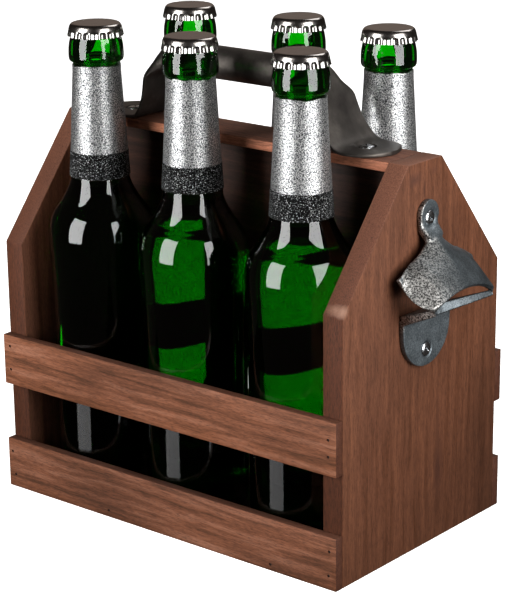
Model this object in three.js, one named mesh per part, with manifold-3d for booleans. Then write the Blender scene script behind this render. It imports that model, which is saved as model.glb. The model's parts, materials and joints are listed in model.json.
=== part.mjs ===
// A stained wooden carrier for six bottles, with its six crown-capped glass bottles.
// It has two gabled end panels, two slats along each long side, a base board, a top rail
// with a board under it, a pressed steel handle and a cast iron bottle opener.
// Millimetres, +Z up. X runs along the carrier, the opener is on the +X end panel,
// and the side the photograph shows faces -Y. The origin is under the middle of the whole.
import * as THREE from 'three';
import { mergeVertices } from 'three/addons/utils/BufferGeometryUtils.js';
import Module from 'manifold-3d';

const wasm = await Module();
wasm.setup();

// Wooden carrier
const LENGTH = 234; // over the two end panels
const PANEL_DEPTH = 136.5;
const PANEL_THICK = 12.4;
const SHOULDER_HEIGHT = 143.3; // where the panel's gable starts to slope
const PANEL_HEIGHT = 209.4;
const PANEL_TOP_WIDTH = 29.2;
const SLAT_THICK = 5.4;
const SLAT_HEIGHT = 29;
const SLAT_GAP = 32.6; // open height between the lower and the upper slat
const BASE_THICK = 8;
const RAIL_THICK = 5.4;
const WEB_THICK = 5.5; // the board on edge under the rail
const WEB_HEIGHT = 60;

const REST_GAP = 0.1; // between the wood and the metal parts screwed to it

const HALF_LENGTH = LENGTH / 2;
const HALF_DEPTH = PANEL_DEPTH / 2;
const INNER_LENGTH = LENGTH - 2 * PANEL_THICK;

// Steel handle: a round grip whose two ends are pressed flat, bent down and screwed to the rail
const GRIP_RADIUS = 9;
const GRIP_HEIGHT = 243.9; // axis of the grip above the ground
const LEG_HALF_WIDTH = 17;
const FOOT_HALF_WIDTH = 19;
const LEAN_RIGHT = 9; // the right leg slants out further than the left one
const LEAN_LEFT = 0.5;
const FOOT_END = 97.7; // outer end of each foot, along the rail
const FOOT_ROUND = 17; // length of the rounded end
const SHEET_HALF = 1.1; // half of the pressed sheet's thickness
const HANDLE_SIDES = 20;
const HANDLE_STEPS = 17; // rings on each half
const HANDLE_SCREW_X = 80;
const FOOT_HEIGHT = PANEL_HEIGHT + REST_GAP + SHEET_HALF; // middle of the foot's sheet

// Cast iron opener, measured out from the end panel's face
const OPENER_SIDE = -1.5; // its middle plane lies just off the panel's middle
const OPENER_TILT = 1.5; // degrees that it is screwed on askew
const TAB_THICK = 3;
const TAB_HALF_WIDTH = 7.8;
const TAB_TOP = 189.6;
const NECK_HALF_WIDTH = 5.5;
const TAB_SCREW_HEIGHT = 180;
const SHIELD_RADIUS = 20.3; // the round lower tab
const SHIELD_HEIGHT = 122.5; // its centre
const SHIELD_SCREW_HEIGHT = 111;
const HOOD_THICK = 2.8;
const HOOD_NECK = { reach: 4.8, height: 170, share: 0.4, rise: 3.5 }; // share of the hood's width
const HOOD_WING = { reach: 6.4, side: 32, height: 155 };
const HOOD_LIP = { reach: 27.2, side: 26.5, height: 148.4, corner: 141.2 };
const HOOD_RIDGE = { reach: 16.5, height: 159.5 }; // what the hood bends towards in the middle
const HOOD_CHEEK = { reach: 13.5, height: 140.5 }; // and at its two sides
const LIP_ROUND = 2; // how far the lip's corners draw back
const JAW_THICK = { root: 5.2, tip: 3 };
const JAW_REACH = 8; // how far the jaw's middle stands off the panel
const JAW_ROOT = { side: 21, height: 130 };
const JAW_TIP = { side: 25.8, height: 140, reach: 25.6 };

// Screws
const SCREW_RADIUS = 4;
const SCREW_DOME = 1.7;
const RECESS_ARM = 2.4;
const RECESS_WIDTH = 1;
const SEAT_RADIUS = 4.6;
const SEAT_DEPTH = 1;
const SEAT_FLARE = 1.6; // how much wider the handle's pressed seats are at their rim
const SCREW_GAP = 0.05; // between a screw head and its seat

// Bottles: heights are above the bottle's own foot
const SIDES = 16;
const WALL = 2.9;
const HEEL_RADIUS = 27.5;
const WAIST = { radius: 28, height: 100 };
const BODY = { radius: 29.4, height: 141 };
const NECK_FOOT = { radius: 15.9, height: 174 };
const NECK_TOP = { radius: 12.5, height: 236 };
const COLLAR = { radius: 14.8, foot: 237, low: 239, high: 245 };
const LIP = { radius: 12.9, height: 256.3 };
const MOUTH_RADIUS = 9.2;
const FILL_HEIGHT = 200;
const FIT = 0.3; // gap between a piece and what it sits on or in
const BAND = { low: 175, high: 188.4, thick: 0.6 };
const FOIL = { low: 188.7, high: 235.5, thick: 0.4 };
const LABEL_LIFTS = [0, 2.5, -0.6, 0.4, 0, -0.3]; // each bottle is labelled a little differently

// Crown cap, heights above its own lower edge
const CAP_BASE = 250.8;
const CAP_HEIGHT = 7;
const CAP_TEETH = 21;
const CAP_TOP_RADIUS = 13;
const CAP_SHOULDER = { radius: 14.1, height: 5.4 };
const CAP_TOOTH = 15.1; // radius at the tip of a tooth
const CAP_VALLEY = 14.3;
const CAP_SHEET = 0.55;

// Where the bottles stand: none stands quite in the middle of its place
const BOTTLE_PLACES = [
  [-70.3, -40],
  [-3.4, -40],
  [69.3, -40],
  [-68.2, 34],
  [4.4, 40],
  [65, 39.6],
];

const material = (color, roughness, metalness, extra = {}) =>
  new THREE.MeshStandardMaterial({ color, roughness, metalness, ...extra });

const wood = () => material(0x83523f, 0.72, 0);
const darkSteel = () => material(0x3d3a38, 0.38, 0.9);
const castIron = () => material(0x62676a, 0.5, 0.85);
const zinc = () => material(0xb9bcc0, 0.28, 1);
const greenGlass = () =>
  material(0x0b5a12, 0.06, 0, { transparent: true, opacity: 0.75 });
const drinkLook = () => material(0x6b4a10, 0.1, 0, { transparent: true, opacity: 0.8 });
const silverFoil = () => material(0xb4b6b8, 0.35, 0.85);
const blackLabel = () => material(0x17181a, 0.5, 0.3);
const tinplate = () => material(0xc2c1bf, 0.22, 1);

// Turns a three.js geometry into a solid that can be joined or cut
function solid(geometry) {
  const bare = geometry.index ? geometry.toNonIndexed() : geometry.clone();
  bare.deleteAttribute('normal');
  bare.deleteAttribute('uv');
  const merged = mergeVertices(bare, 1e-4);
  return new wasm.Manifold(
    new wasm.Mesh({
      numProp: 3,
      vertProperties: new Float32Array(merged.attributes.position.array),
      triVerts: new Uint32Array(merged.index.array),
    })
  );
}

// Turns a joined or cut solid back into a three.js geometry
function geometryOf(body) {
  const mesh = body.getMesh();
  const geometry = new THREE.BufferGeometry();
  geometry.setAttribute('position', new THREE.BufferAttribute(mesh.vertProperties, 3));
  geometry.setIndex(new THREE.BufferAttribute(mesh.triVerts, 1));
  geometry.computeVertexNormals();
  return geometry;
}

const carrier = new THREE.Group();

function add(name, geometry, look, x = 0, y = 0, z = 0) {
  const mesh = new THREE.Mesh(geometry, look);
  mesh.name = name;
  mesh.position.set(x, y, z);
  carrier.add(mesh);
  return mesh;
}

// Rebuilds a lathe geometry about Z instead of Y
function turned(profile, sides) {
  const points = profile.map(([radius, height]) => new THREE.Vector2(radius, height));
  return new THREE.LatheGeometry(points, sides).rotateX(Math.PI / 2);
}

// Boards
function addPanels() {
  const outline = new THREE.Shape();
  outline.moveTo(-HALF_DEPTH, 0);
  outline.lineTo(HALF_DEPTH, 0);
  outline.lineTo(HALF_DEPTH, SHOULDER_HEIGHT);
  outline.lineTo(PANEL_TOP_WIDTH / 2, PANEL_HEIGHT);
  outline.lineTo(-PANEL_TOP_WIDTH / 2, PANEL_HEIGHT);
  outline.lineTo(-HALF_DEPTH, SHOULDER_HEIGHT);
  outline.closePath();
  const board = new THREE.ExtrudeGeometry(outline, { depth: PANEL_THICK, bevelEnabled: false });
  board.rotateX(Math.PI / 2).rotateZ(Math.PI / 2);
  add('end_panel_left', board, wood(), -HALF_LENGTH);
  add('end_panel_right', board.clone(), wood(), HALF_LENGTH - PANEL_THICK);
}

function addBoards() {
  const inside = (width, height) => new THREE.BoxGeometry(INNER_LENGTH, width, height);
  add('base_board', inside(PANEL_DEPTH, BASE_THICK), wood(), 0, 0, BASE_THICK / 2);
  const railUnder = PANEL_HEIGHT - RAIL_THICK;
  add('top_rail', inside(PANEL_TOP_WIDTH, RAIL_THICK), wood(), 0, 0, railUnder + RAIL_THICK / 2);
  add('rail_web', inside(WEB_THICK, WEB_HEIGHT), wood(), 0, 0, railUnder - WEB_HEIGHT / 2);

  const slatY = HALF_DEPTH + SLAT_THICK / 2;
  const rows = { lower: SLAT_HEIGHT / 2, upper: SLAT_HEIGHT * 1.5 + SLAT_GAP };
  for (const [row, height] of Object.entries(rows)) {
    const slat = new THREE.BoxGeometry(LENGTH, SLAT_THICK, SLAT_HEIGHT);
    add(`front_slat_${row}`, slat, wood(), 0, -slatY, height);
    add(`back_slat_${row}`, slat.clone(), wood(), 0, slatY, height);
  }
}

// A screw's domed head, with a cross-shaped recess, standing on z = 0
function screwHead() {
  const dome = turned(
    [
      [0, 0],
      [SCREW_RADIUS, 0],
      [SCREW_RADIUS, SCREW_DOME * 0.35],
      [SCREW_RADIUS * 0.72, SCREW_DOME * 0.82],
      [0, SCREW_DOME],
    ],
    12
  );
  let head = solid(dome);
  for (const turn of [0, Math.PI / 2]) {
    const slot = new THREE.BoxGeometry(2 * RECESS_ARM, RECESS_WIDTH, 2 * SCREW_DOME);
    slot.rotateZ(turn + Math.PI / 4).translate(0, 0, SCREW_DOME * 1.45);
    head = head.subtract(solid(slot));
  }
  return geometryOf(head);
}

// Middle line of one half of the handle, from the grip to the end of the foot, drawn
// towards +X. The lean is how far the leg slants out between the grip and the rail.
function handlePath(lean) {
  const foot = FOOT_HEIGHT;
  const knee = GRIP_HEIGHT - 9;
  const slant = (z) => (lean * (knee + 5 - z)) / (knee + 5 - foot);
  const leg = [
    [57, knee],
    [57.9, 229],
    [58.8, 223],
    [60.6, 217.6],
    [63.2, 213],
    [66.2, foot + 0.6],
  ].map(([x, z]) => [x + slant(z), z]);
  const stops = [
    [44, GRIP_HEIGHT],
    [48.5, GRIP_HEIGHT - 0.4],
    [52.4, GRIP_HEIGHT - 2.2],
    [55.2, GRIP_HEIGHT - 5.4],
    ...leg,
    [79, foot],
    [86, foot],
    [FOOT_END, foot],
  ];
  return new THREE.CatmullRomCurve3(
    stops.map(([x, z]) => new THREE.Vector3(x, 0, z)),
    false,
    'centripetal'
  );
}

// Half width, half thickness and squareness of the handle's section at a place on its path
function handleSection(place) {
  const pressed = THREE.MathUtils.smoothstep(GRIP_HEIGHT - place.z, 0, 11);
  const flared = THREE.MathUtils.smoothstep(place.x, 60, 76);
  const toEnd = THREE.MathUtils.clamp((place.x - (FOOT_END - FOOT_ROUND)) / FOOT_ROUND, 0, 0.985);
  const legs = THREE.MathUtils.lerp(GRIP_RADIUS, LEG_HALF_WIDTH, pressed);
  const width = THREE.MathUtils.lerp(legs, FOOT_HALF_WIDTH, flared) * Math.sqrt(1 - toEnd ** 2);
  return {
    width,
    thick: THREE.MathUtils.lerp(GRIP_RADIUS, SHEET_HALF, Math.sqrt(pressed)),
    power: THREE.MathUtils.lerp(1, 0.34, pressed),
  };
}

// Rings along one half of the handle, from the foot's end to the grip
function halfRings(lean) {
  const path = handlePath(lean);
  const rings = [];
  for (let i = HANDLE_STEPS; i >= 0; i--) {
    const place = path.getPointAt(i / HANDLE_STEPS);
    place.z = Math.max(place.z, FOOT_HEIGHT);
    const along = path.getTangentAt(i / HANDLE_STEPS);
    const outward = new THREE.Vector3(-along.z, 0, along.x);
    rings.push({ place, outward, section: handleSection(place) });
  }
  return rings;
}

// Rings along the whole handle, from the right foot's end over the grip to the left foot's
function handleRings() {
  const mirror = new THREE.Vector3(-1, 1, 1);
  const left = halfRings(LEAN_LEFT).toReversed();
  left.forEach(({ place, outward }) => {
    place.multiply(mirror);
    outward.multiply(mirror);
  });
  return [...halfRings(LEAN_RIGHT), ...left];
}

// The handle is a closed cylinder whose rings are moved onto the path's sections
function handleSolid() {
  const rings = handleRings();
  const tube = new THREE.CylinderGeometry(1, 1, 1, HANDLE_SIDES, rings.length - 1);
  const position = tube.attributes.position;
  const across = new THREE.Vector3(0, 1, 0);
  const squared = (value, power) => Math.sign(value) * Math.abs(value) ** power;
  for (let i = 0; i < position.count; i++) {
    const { place, outward, section } = rings[
      Math.round((0.5 - position.getY(i)) * (rings.length - 1))
    ];
    const point = place
      .clone()
      .addScaledVector(across, section.width * squared(position.getX(i), section.power))
      .addScaledVector(outward, -section.thick * squared(position.getZ(i), section.power));
    position.setXYZ(i, point.x, point.y, point.z);
  }
  return solid(tube);
}

function addHandle() {
  let handle = handleSolid();
  const top = FOOT_HEIGHT + SHEET_HALF;
  for (const side of [-1, 1]) {
    const mouth = SEAT_RADIUS + 2 * SEAT_FLARE;
    const seat = new THREE.CylinderGeometry(mouth, SEAT_RADIUS, 2 * SEAT_DEPTH, 16);
    seat.rotateX(Math.PI / 2).translate(side * HANDLE_SCREW_X, 0, top);
    handle = handle.subtract(solid(seat));
  }
  const seatHeight = top - SEAT_DEPTH + SCREW_GAP;
  add('handle', geometryOf(handle), darkSteel());
  add('handle_screw_left', screwHead(), zinc(), -HANDLE_SCREW_X, 0, seatHeight);
  add('handle_screw_right', screwHead(), zinc(), HANDLE_SCREW_X, 0, seatHeight);
}

// A box bent onto a surface: u runs from -1 to 1 across it and v from 0 to 1 along it
function bentSheet(across, along, surface, thickness) {
  const sheet = new THREE.BoxGeometry(2, 1, 1, across, along, 1);
  const position = sheet.attributes.position;
  const small = 1e-3;
  for (let i = 0; i < position.count; i++) {
    const u = position.getX(i);
    const v = position.getY(i) + 0.5;
    const here = surface(u, v);
    const alongU = surface(u + small, v).sub(surface(u - small, v));
    const alongV = surface(u, v + small).sub(surface(u, v - small));
    const normal = alongU.cross(alongV).normalize();
    here.addScaledVector(normal, position.getZ(i) * thickness(u, v));
    position.setXYZ(i, here.x, here.y, here.z);
  }
  return solid(sheet);
}

const mix = THREE.MathUtils.lerp;

const bend = (start, towards, end, v) =>
  start * (1 - v) ** 2 + 2 * towards * v * (1 - v) + end * v ** 2;

// The hood: from its neck and two wings near the panel out to the arched front lip
function hoodSurface(u, v) {
  const edge = Math.abs(u);
  const sideways = u * mix(HOOD_WING.side, HOOD_LIP.side, v);
  const wingRise = (HOOD_NECK.height - HOOD_WING.height) * (1 - edge);
  const neckRise = HOOD_NECK.rise * Math.max(1 - edge / HOOD_NECK.share, 0);
  const reach = bend(
    mix(HOOD_NECK.reach, HOOD_WING.reach, edge),
    mix(HOOD_RIDGE.reach, HOOD_CHEEK.reach, edge ** 6),
    HOOD_LIP.reach - LIP_ROUND * edge ** 6,
    v
  );
  const height = bend(
    HOOD_WING.height + wingRise + neckRise,
    mix(HOOD_RIDGE.height, HOOD_CHEEK.height, edge ** 6),
    mix(HOOD_LIP.height, HOOD_LIP.corner, edge ** 2),
    v
  );
  return new THREE.Vector3(reach, -sideways, height);
}

// The jaw: a ledge over the lower tab that runs out at both ends to the hood's lip corners
function jawSurface(u, v) {
  const edge = Math.abs(u);
  const reach = mix(TAB_THICK / 2, mix(JAW_REACH, JAW_TIP.reach, edge ** 1.6), v);
  const out = (reach - TAB_THICK / 2) / (JAW_TIP.reach - TAB_THICK / 2);
  const sideways = u * mix(JAW_ROOT.side, JAW_TIP.side, v);
  return new THREE.Vector3(reach, -sideways, mix(JAW_ROOT.height, JAW_TIP.height, out));
}

// The jaw gets thinner towards its two tips
function jawThickness(u, v) {
  return mix(JAW_THICK.root, JAW_THICK.tip, u ** 2 * v);
}

// Upper tab: a strip rounded at its top, drawn in towards its foot and bent out to the hood
function upperTab() {
  const bendAt = HOOD_NECK.height + HOOD_NECK.rise;
  const neck = new THREE.Shape();
  neck.moveTo(0, TAB_TOP);
  neck.lineTo(0, bendAt - 0.5);
  neck.lineTo(HOOD_NECK.reach, bendAt - 5.5);
  neck.lineTo(HOOD_NECK.reach + 3, bendAt - 1.6);
  neck.lineTo(TAB_THICK, bendAt + 3.4);
  neck.lineTo(TAB_THICK, TAB_TOP);
  neck.closePath();
  const width = 2 * TAB_HALF_WIDTH + 2;
  const bar = new THREE.ExtrudeGeometry(neck, { depth: width, bevelEnabled: false });
  bar.rotateX(Math.PI / 2).translate(0, width / 2, 0);

  const low = bendAt - 8;
  const strip = new THREE.Shape();
  strip.moveTo(-NECK_HALF_WIDTH, low);
  strip.lineTo(NECK_HALF_WIDTH, low);
  strip.lineTo(TAB_HALF_WIDTH, bendAt + 3);
  strip.absarc(0, TAB_TOP - TAB_HALF_WIDTH, TAB_HALF_WIDTH, 0, Math.PI, false);
  strip.lineTo(-TAB_HALF_WIDTH, bendAt + 3);
  strip.closePath();
  return solid(bar).intersect(outlineSlab(strip, 2 * HOOD_NECK.reach));
}

// An outline in the panel's plane, as a slab that starts on the panel's face
function outlineSlab(outline, depth) {
  const options = { depth, bevelEnabled: false, curveSegments: 10 };
  const slab = new THREE.ExtrudeGeometry(outline, options);
  slab.rotateX(Math.PI / 2).rotateZ(Math.PI / 2);
  return solid(slab);
}

function lowerTab() {
  const shield = new THREE.Shape();
  shield.moveTo(JAW_ROOT.side, JAW_ROOT.height);
  shield.lineTo(-JAW_ROOT.side, JAW_ROOT.height);
  shield.absarc(0, SHIELD_HEIGHT, SHIELD_RADIUS, Math.PI, 2 * Math.PI, false);
  shield.closePath();
  return outlineSlab(shield, TAB_THICK);
}

function addOpener() {
  let opener = upperTab()
    .add(lowerTab())
    .add(bentSheet(14, 7, hoodSurface, () => HOOD_THICK))
    .add(bentSheet(12, 3, jawSurface, jawThickness));
  const screws = { top: TAB_SCREW_HEIGHT, bottom: SHIELD_SCREW_HEIGHT };
  for (const height of Object.values(screws)) {
    const seat = new THREE.CylinderGeometry(SEAT_RADIUS, SEAT_RADIUS, 2 * SEAT_DEPTH, 14);
    seat.rotateZ(Math.PI / 2).translate(TAB_THICK, 0, height);
    opener = opener.subtract(solid(seat));
  }
  const mounted = new THREE.Group();
  mounted.position.set(HALF_LENGTH + REST_GAP, OPENER_SIDE, SHIELD_SCREW_HEIGHT);
  mounted.rotation.x = -THREE.MathUtils.degToRad(OPENER_TILT);
  carrier.add(mounted);
  mounted.add(add('opener', geometryOf(opener), castIron(), 0, 0, -SHIELD_SCREW_HEIGHT));
  for (const [place, height] of Object.entries(screws)) {
    const head = screwHead().rotateY(Math.PI / 2);
    const reach = TAB_THICK - SEAT_DEPTH + SCREW_GAP;
    const above = height - SHIELD_SCREW_HEIGHT;
    mounted.add(add(`opener_screw_${place}`, head, zinc(), reach, 0, above));
  }
}

// Radius of the neck's outside, which tapers evenly
function neckRadius(height) {
  const part = (height - NECK_FOOT.height) / (NECK_TOP.height - NECK_FOOT.height);
  return mix(NECK_FOOT.radius, NECK_TOP.radius, part);
}

function glassProfile() {
  const outside = [
    [0, 3],
    [22, 0],
    [26, 2.2],
    [HEEL_RADIUS, 8],
    [WAIST.radius, WAIST.height],
    [BODY.radius, BODY.height],
    [28.8, 148.3],
    [25.8, 154.8],
    [21.9, 161.3],
    [17.4, 169.2],
    [NECK_FOOT.radius, NECK_FOOT.height],
    [NECK_TOP.radius, NECK_TOP.height],
    [NECK_TOP.radius, COLLAR.foot],
    [COLLAR.radius, COLLAR.low],
    [COLLAR.radius - 0.1, COLLAR.high],
    [13.1, 251],
    [LIP.radius, LIP.height],
  ];
  const inside = [
    [MOUTH_RADIUS, LIP.height],
    [MOUTH_RADIUS, NECK_TOP.height],
    ...bore().reverse(),
  ];
  return [...outside, ...inside];
}

// The bottle's inner wall, from the middle of its floor up to the foot of the neck
function bore() {
  return [
    [0, 7],
    [19, 5.5],
    [HEEL_RADIUS - WALL, 9],
    [WAIST.radius - WALL, WAIST.height],
    [BODY.radius - WALL, BODY.height],
    [BODY.radius - WALL - 0.2, 144.5],
    [18.9, 161.5],
    [NECK_FOOT.radius - WALL, NECK_FOOT.height],
  ];
}

function drinkProfile() {
  const top = NECK_FOOT.height;
  const part = (FILL_HEIGHT - top) / (NECK_TOP.height - top);
  const radius = mix(NECK_FOOT.radius - WALL, MOUTH_RADIUS, part) - FIT;
  const inner = bore().map(([r, h]) => [Math.max(r - FIT, 0), h < 10 ? h + FIT : h]);
  return [...inner, [radius, FILL_HEIGHT], [0, FILL_HEIGHT]];
}

function sleeve(low, high, thick) {
  const profile = [
    [neckRadius(low) + FIT, low],
    [neckRadius(low) + FIT + thick, low],
    [neckRadius(high) + FIT + thick, high],
    [neckRadius(high) + FIT, high],
    [neckRadius(low) + FIT, low],
  ];
  return turned(profile, SIDES);
}

// A crown cap: every second side of the turned skirt is drawn in between two teeth
function capGeometry() {
  const inner = CAP_HEIGHT - 1.25;
  const cap = turned(
    [
      [0, inner],
      [LIP.radius + FIT, inner],
      [CAP_TOOTH - CAP_SHEET, 0],
      [CAP_TOOTH, 0],
      [CAP_SHOULDER.radius, CAP_SHOULDER.height],
      [CAP_TOP_RADIUS, CAP_HEIGHT],
      [0, CAP_HEIGHT],
    ],
    2 * CAP_TEETH
  );
  const position = cap.attributes.position;
  for (let i = 0; i < position.count; i++) {
    const x = position.getX(i);
    const y = position.getY(i);
    const step = Math.round((Math.atan2(y, x) / Math.PI + 0.5) * CAP_TEETH);
    const inValley = position.getZ(i) < 0.01 && Math.abs(step % 2) === 1;
    const drawIn = inValley ? 1 - (CAP_TOOTH - CAP_VALLEY) / Math.hypot(x, y) : 1;
    position.setXY(i, x * drawIn, y * drawIn);
  }
  return cap;
}

function addBottle(number, x, y) {
  const foot = BASE_THICK;
  add(`bottle_${number}_glass`, turned(glassProfile(), SIDES), greenGlass(), x, y, foot);
  add(`bottle_${number}_drink`, turned(drinkProfile(), SIDES), drinkLook(), x, y, foot);
  const lift = LABEL_LIFTS[number - 1];
  const foil = sleeve(FOIL.low + lift, FOIL.high + lift / 2, FOIL.thick);
  add(`bottle_${number}_neck_foil`, foil, silverFoil(), x, y, foot);
  const band = sleeve(BAND.low + lift, BAND.high + lift, BAND.thick);
  add(`bottle_${number}_neck_band`, band, blackLabel(), x, y, foot);
  add(`bottle_${number}_cap`, capGeometry(), tinplate(), x, y, foot + CAP_BASE);
}

addPanels();
addBoards();
addHandle();
addOpener();
BOTTLE_PLACES.forEach(([x, y], i) => addBottle(i + 1, x, y));

// The origin goes to the middle of the underside of the whole, opener included
const extent = new THREE.Box3().setFromObject(carrier);
const middle = extent.getCenter(new THREE.Vector3());
carrier.position.set(-middle.x, -middle.y, -extent.min.z);

const object = new THREE.Group();
object.add(carrier);
export default object;
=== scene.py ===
# %% [markdown]
# # A stained wooden carrier with six green bottles
# The carrier is screwed and nailed together from thin softwood boards. It has a pressed
# steel handle, a cast iron opener and six crown-capped bottles. This lesson dresses its
# plain solids: each solid is replaced by a finer piece of the same size and place.
# One unit is a metre. X runs along the carrier, the photographed side faces -Y, +Z is up.

import json
import math

import bmesh
import bpy
from mathutils import Matrix, Vector, noise

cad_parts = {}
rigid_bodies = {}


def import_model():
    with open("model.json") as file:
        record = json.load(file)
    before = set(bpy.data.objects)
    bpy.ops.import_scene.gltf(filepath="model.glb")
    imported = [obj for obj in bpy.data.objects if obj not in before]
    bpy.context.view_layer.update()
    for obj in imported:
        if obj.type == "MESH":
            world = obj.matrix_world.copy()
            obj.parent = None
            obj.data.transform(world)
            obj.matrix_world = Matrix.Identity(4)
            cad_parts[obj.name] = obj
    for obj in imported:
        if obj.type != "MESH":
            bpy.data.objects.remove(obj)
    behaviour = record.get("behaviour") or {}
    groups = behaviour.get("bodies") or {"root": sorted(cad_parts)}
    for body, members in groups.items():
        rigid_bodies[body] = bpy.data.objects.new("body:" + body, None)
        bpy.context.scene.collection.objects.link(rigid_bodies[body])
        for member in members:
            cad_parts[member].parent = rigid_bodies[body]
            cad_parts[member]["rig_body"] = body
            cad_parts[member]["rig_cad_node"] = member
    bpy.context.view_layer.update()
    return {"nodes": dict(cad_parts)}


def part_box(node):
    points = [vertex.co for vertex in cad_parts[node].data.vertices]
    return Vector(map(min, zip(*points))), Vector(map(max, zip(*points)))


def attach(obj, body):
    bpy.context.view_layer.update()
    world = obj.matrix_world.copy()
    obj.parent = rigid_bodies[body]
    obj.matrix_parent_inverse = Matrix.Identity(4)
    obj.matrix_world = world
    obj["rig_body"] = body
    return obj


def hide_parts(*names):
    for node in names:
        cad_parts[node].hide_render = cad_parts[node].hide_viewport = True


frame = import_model()

# %% [markdown]
# ## Units and colours
# Sizes are thought of in millimetres, so MM turns them to metres. Colours are given as sRGB
# hex values, and a shader wants them linear, so one function converts them.

# %% Units and colours
MM = 0.001


def colour(hex_value, alpha=1.0):
    """The linear RGBA of an sRGB colour such as '#86573F'."""
    channels = [int(hex_value[i : i + 2], 16) / 255 for i in (1, 3, 5)]
    linear = [c / 12.92 if c <= 0.04045 else ((c + 0.055) / 1.055) ** 2.4 for c in channels]
    return (*linear, alpha)


print("mid wood tone, linear:", [round(c, 3) for c in colour("#86573F")])

# %% [markdown]
# ## Helpers for modelling by hand
# Every piece starts as a primitive and is shaped in edit mode. An operator acts on all that
# is selected, so a piece is opened with nothing selected, and its parts are then chosen by
# where they are.

# %% Modelling helpers


def deselect_all():
    for thing in bpy.context.selected_objects:
        thing.select_set(False)


def named(name):
    """Names the primitive that was just added and returns it."""
    piece = bpy.context.active_object
    piece.name = piece.data.name = name
    return piece


def make_active(piece):
    deselect_all()
    piece.select_set(True)
    bpy.context.view_layer.objects.active = piece


def open_mesh(piece, selected="DESELECT"):
    make_active(piece)
    bpy.ops.object.mode_set(mode="EDIT")
    bpy.ops.mesh.select_all(action=selected)


def close_mesh():
    bpy.ops.object.mode_set(mode="OBJECT")


def choose(piece, kind, test):
    """Selects the faces, edges or verts of an open mesh that pass the test."""
    bpy.ops.mesh.select_all(action="DESELECT")
    bpy.ops.mesh.select_mode(type={"verts": "VERT", "edges": "EDGE", "faces": "FACE"}[kind])
    shape = bmesh.from_edit_mesh(piece.data)
    for part in getattr(shape, kind):
        part.select_set(bool(test(part)))
    bmesh.update_edit_mesh(piece.data)


def settle(piece):
    """Puts the piece's place, turn and size into its mesh."""
    make_active(piece)
    bpy.ops.object.transform_apply(location=True, rotation=True, scale=True)


def modified(piece, kind, **settings):
    """Adds a modifier and applies it at once."""
    make_active(piece)
    change = piece.modifiers.new(kind.title(), kind)
    for key, value in settings.items():
        setattr(change, key, value)
    bpy.ops.object.modifier_apply(modifier=change.name)


def cut_away(piece, cutter):
    """Takes the cutter's shape out of the piece and removes the cutter."""
    modified(piece, "BOOLEAN", operation="DIFFERENCE", solver="EXACT", object=cutter)
    bpy.data.objects.remove(cutter)


def smooth(piece, angle=35):
    make_active(piece)
    bpy.ops.object.shade_smooth_by_angle(angle=math.radians(angle))


def copied(piece, name, matrix):
    """A copy with its own mesh, moved inside that mesh."""
    twin = piece.copy()
    twin.data = piece.data.copy()
    twin.name = twin.data.name = name
    bpy.context.collection.objects.link(twin)
    twin.data.transform(matrix)
    return twin


def clamp(value, low=0.0, high=1.0):
    return max(low, min(high, value))


def eased(value, start, end):
    """0 before the start, 1 after the end, and a smooth step between them."""
    part = clamp((value - start) / (end - start))
    return part * part * (3 - 2 * part)


def hand_over(piece, finish, slot, *nodes):
    """Gives a piece its finish, and lets it stand for its plain solids."""
    piece.data.materials.clear()
    piece.data.materials.append(finish)
    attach(piece, "root")
    if nodes:
        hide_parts(*nodes)
    print(piece.name, "faces:", len(piece.data.polygons))


print("a quarter of the way, a smooth step has risen to", eased(0.25, 0, 1))

# %% [markdown]
# ## Turned shapes
# Bottles, caps and screw heads are round, so each is drawn as half a section and spun. The
# section starts as one point, which is extruded along the outline. A round outline is drawn
# through a few measured points by a smooth curve.

# %% Spinning an outline


def curved(points, steps=6):
    """Points along a smooth curve through all the given (radius, height) points."""
    ends = [points[0], *points, points[-1]]
    line = [points[0]]
    for before, start, end, after in zip(ends, ends[1:], ends[2:], ends[3:]):
        for step in range(1, steps + 1):
            t = step / steps
            line.append(
                tuple(
                    0.5
                    * (
                        2 * b
                        + (c - a) * t
                        + (2 * a - 5 * b + 4 * c - d) * t**2
                        + (3 * b - a - 3 * c + d) * t**3
                    )
                    for a, b, c, d in zip(before, start, end, after)
                )
            )
    return line


def spun(name, outline, sides):
    """Spins a closed (radius, height) outline, in millimetres, round the Z axis."""
    deselect_all()
    bpy.ops.mesh.primitive_plane_add(size=MM)
    piece = named(name)
    open_mesh(piece, "SELECT")
    bpy.ops.mesh.select_mode(type="VERT")
    bpy.ops.mesh.merge(type="CENTER")
    places = [Vector((max(radius, 0), 0, height)) * MM for radius, height in outline]
    bpy.ops.transform.translate(value=places[0])
    for here, there in zip(places, places[1:]):
        bpy.ops.mesh.extrude_region_move(TRANSFORM_OT_translate={"value": there - here})
    bpy.ops.mesh.select_all(action="SELECT")
    bpy.ops.mesh.spin(steps=sides, angle=math.tau, center=(0, 0, 0), axis=(0, 0, 1))
    bpy.ops.mesh.select_all(action="SELECT")
    bpy.ops.mesh.remove_doubles(threshold=0.004 * MM)
    bpy.ops.mesh.normals_make_consistent(inside=False)
    close_mesh()
    return piece


print("a curve through three points has", len(curved([(0, 0), (1, 1), (2, 0)])), "points")

# %% [markdown]
# ## Node helper
# A finish is a small tree of nodes. One function adds a node and another feeds its inputs.
# No real surface is one flat tone, so another lays soft flecks of a given size over it.

# %% Building finishes
MULTIPLY = {"blend_type": "MULTIPLY"}  # for a node that multiplies two tones


def feed(node, inputs):
    """A socket given as an input is linked, anything else is its value."""
    for key, value in inputs.items():
        if isinstance(value, bpy.types.NodeSocket):
            node.id_data.links.new(value, node.inputs[key])
        else:
            node.inputs[key].default_value = value


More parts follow.
